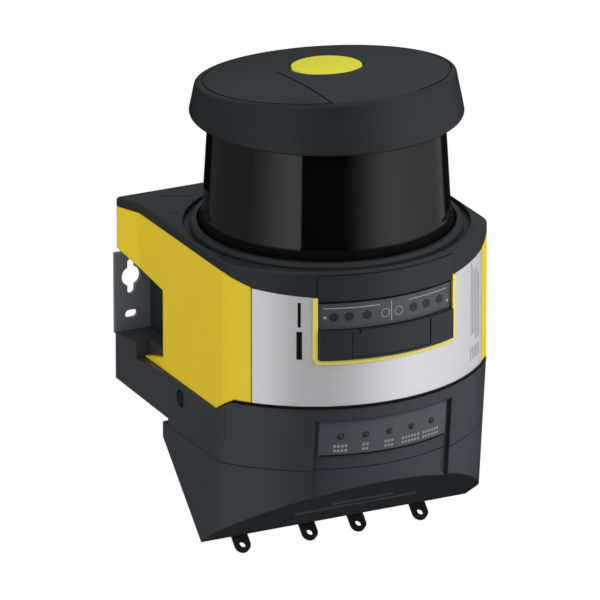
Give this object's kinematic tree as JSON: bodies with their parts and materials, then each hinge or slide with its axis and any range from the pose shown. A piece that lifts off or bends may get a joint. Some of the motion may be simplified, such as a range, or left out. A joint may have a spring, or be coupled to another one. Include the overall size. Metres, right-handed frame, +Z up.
{
  "type": "safety laser scanner",
  "caption": "Safety laser scanner with a dark ring window under a round cap, yellow side covers, a service flap and a wedge-shaped connection unit with capped connectors below.",
  "frame": {"origin": "middle between the two lower screw slots, in the rear mounting plane", "axes": "+Z up along the scan axis, -Y to the front, +Y into the wall"},
  "size_m": [0.1508, 0.1422, 0.2329],
  "materials": {
    "yellow_cover": "satin moulded plastic",
    "dark_cover": "fine-grained moulded plastic",
    "band_metal": "brushed",
    "window_plastic": "polished, dark, lets infrared light through",
    "smoked_plastic": "smooth smoked plastic",
    "yellow_disc": "smooth moulded plastic",
    "seal_rubber": "matt rubber",
    "housing_cast": "die-cast, dark coated",
    "unit_metal": "die-cast with a fine matt paint",
    "plate_steel": "stamped sheet steel, dark paint",
    "screw_steel": "zinc-plated",
    "screw_black": "blackened steel",
    "shaft_steel": "ground",
    "optic_glass": "coated lens",
    "mirror_glass": "front-coated mirror",
    "carrier_aluminium": "turned",
    "motor_metal": "laminated steel with varnish",
    "magnet_metal": "nickel-plated magnet",
    "board_green": "solder resist",
    "contact_plastic": "moulded",
    "encoder_black": "film disc",
    "panel_film": "printed film",
    "light_lens": "moulded light lens",
    "cap_rubber": "moulded soft plastic",
    "connector_metal": "nickel-plated",
    "tube_black": "matt black"
  },
  "bodies": {
    "connection_unit": {"connection_case": "unit_metal", "connection_lower_case": "unit_metal", "connector_1": "connector_metal", "connector_2": "connector_metal", "connector_3": "connector_metal", "connector_4": "connector_metal", "status_light_1": "light_lens", "status_light_2": "light_lens", "status_light_3": "light_lens", "status_light_4": "light_lens", "status_light_5": "light_lens", "status_panel": "panel_film", "unit_socket": "contact_plastic", "terminal_board": "board_green", "unit_gasket": "seal_rubber", "wall_bracket": "plate_steel", "bracket_screws": "screw_steel"},
    "scan_unit": {"inner_housing": "housing_cast", "side_cover_left": "yellow_cover", "side_cover_right": "yellow_cover", "front_band": "band_metal", "port_bead": "yellow_cover", "indicator_strip": "smoked_plastic", "service_cover": "dark_cover", "flap_pin": "shaft_steel", "service_socket": "contact_plastic", "deck_cover": "dark_cover", "indicator_hood": "dark_cover", "scanner_window": "window_plastic", "window_seal": "seal_rubber", "top_cap": "dark_cover", "cap_disc": "yellow_disc", "motor_plate": "carrier_aluminium", "lower_bearing": "shaft_steel", "upper_bearing": "shaft_steel", "motor_stator": "motor_metal", "encoder_sensor": "contact_plastic", "lens_tube": "tube_black", "receiver_lens": "optic_glass", "laser_tube": "shaft_steel", "receiver_board": "board_green", "main_board": "board_green", "unit_plug": "contact_plastic"},
    "rotor": {"motor_magnet": "magnet_metal", "rotor_shaft": "shaft_steel", "mirror_carrier": "carrier_aluminium", "rotating_mirror": "mirror_glass", "encoder_disc": "encoder_black"},
    "flap": {"service_flap": "dark_cover"},
    "lock_left": {"locking_screw_left": "screw_black"},
    "lock_right": {"locking_screw_right": "screw_black"},
    "dust_1": {"dust_cap_1": "cap_rubber"},
    "dust_2": {"dust_cap_2": "cap_rubber"},
    "dust_3": {"dust_cap_3": "cap_rubber"},
    "dust_4": {"dust_cap_4": "cap_rubber"}
  },
  "joints": [
    {"name": "unit_lift", "type": "slide", "parent": "connection_unit", "child": "scan_unit", "axis": [0, 0, 1], "range_m": [0, 0.04]},
    {"name": "rotor_spin", "type": "hinge", "parent": "scan_unit", "child": "rotor", "pos_m": [0, -0.0725, 0.0874], "axis": [0, 0, 1], "continuous": true},
    {"name": "flap_hinge", "type": "hinge", "parent": "scan_unit", "child": "flap", "pos_m": [-0.0184, -0.13901, 0.0224], "axis": [0, 0, -1], "range_deg": [0, 95]},
    {"name": "lock_left_turn", "type": "hinge", "parent": "connection_unit", "child": "lock_left", "pos_m": [-0.066, -0.0587, -0.023], "axis": [-1, 0, 0], "range_deg": [0, 90]},
    {"name": "lock_right_turn", "type": "hinge", "parent": "connection_unit", "child": "lock_right", "pos_m": [0.066, -0.0587, -0.023], "axis": [1, 0, 0], "range_deg": [0, 90]},
    {"name": "dust_cap_1_pull", "type": "slide", "parent": "connection_unit", "child": "dust_1", "axis": [0, 0.6909, -0.723], "range_m": [0, 0.012]},
    {"name": "dust_cap_2_pull", "type": "slide", "parent": "connection_unit", "child": "dust_2", "axis": [0, 0.6909, -0.723], "range_m": [0, 0.012]},
    {"name": "dust_cap_3_pull", "type": "slide", "parent": "connection_unit", "child": "dust_3", "axis": [0, 0.6909, -0.723], "range_m": [0, 0.012]},
    {"name": "dust_cap_4_pull", "type": "slide", "parent": "connection_unit", "child": "dust_4", "axis": [0, 0.6909, -0.723], "range_m": [0, 0.012]}
  ]
}
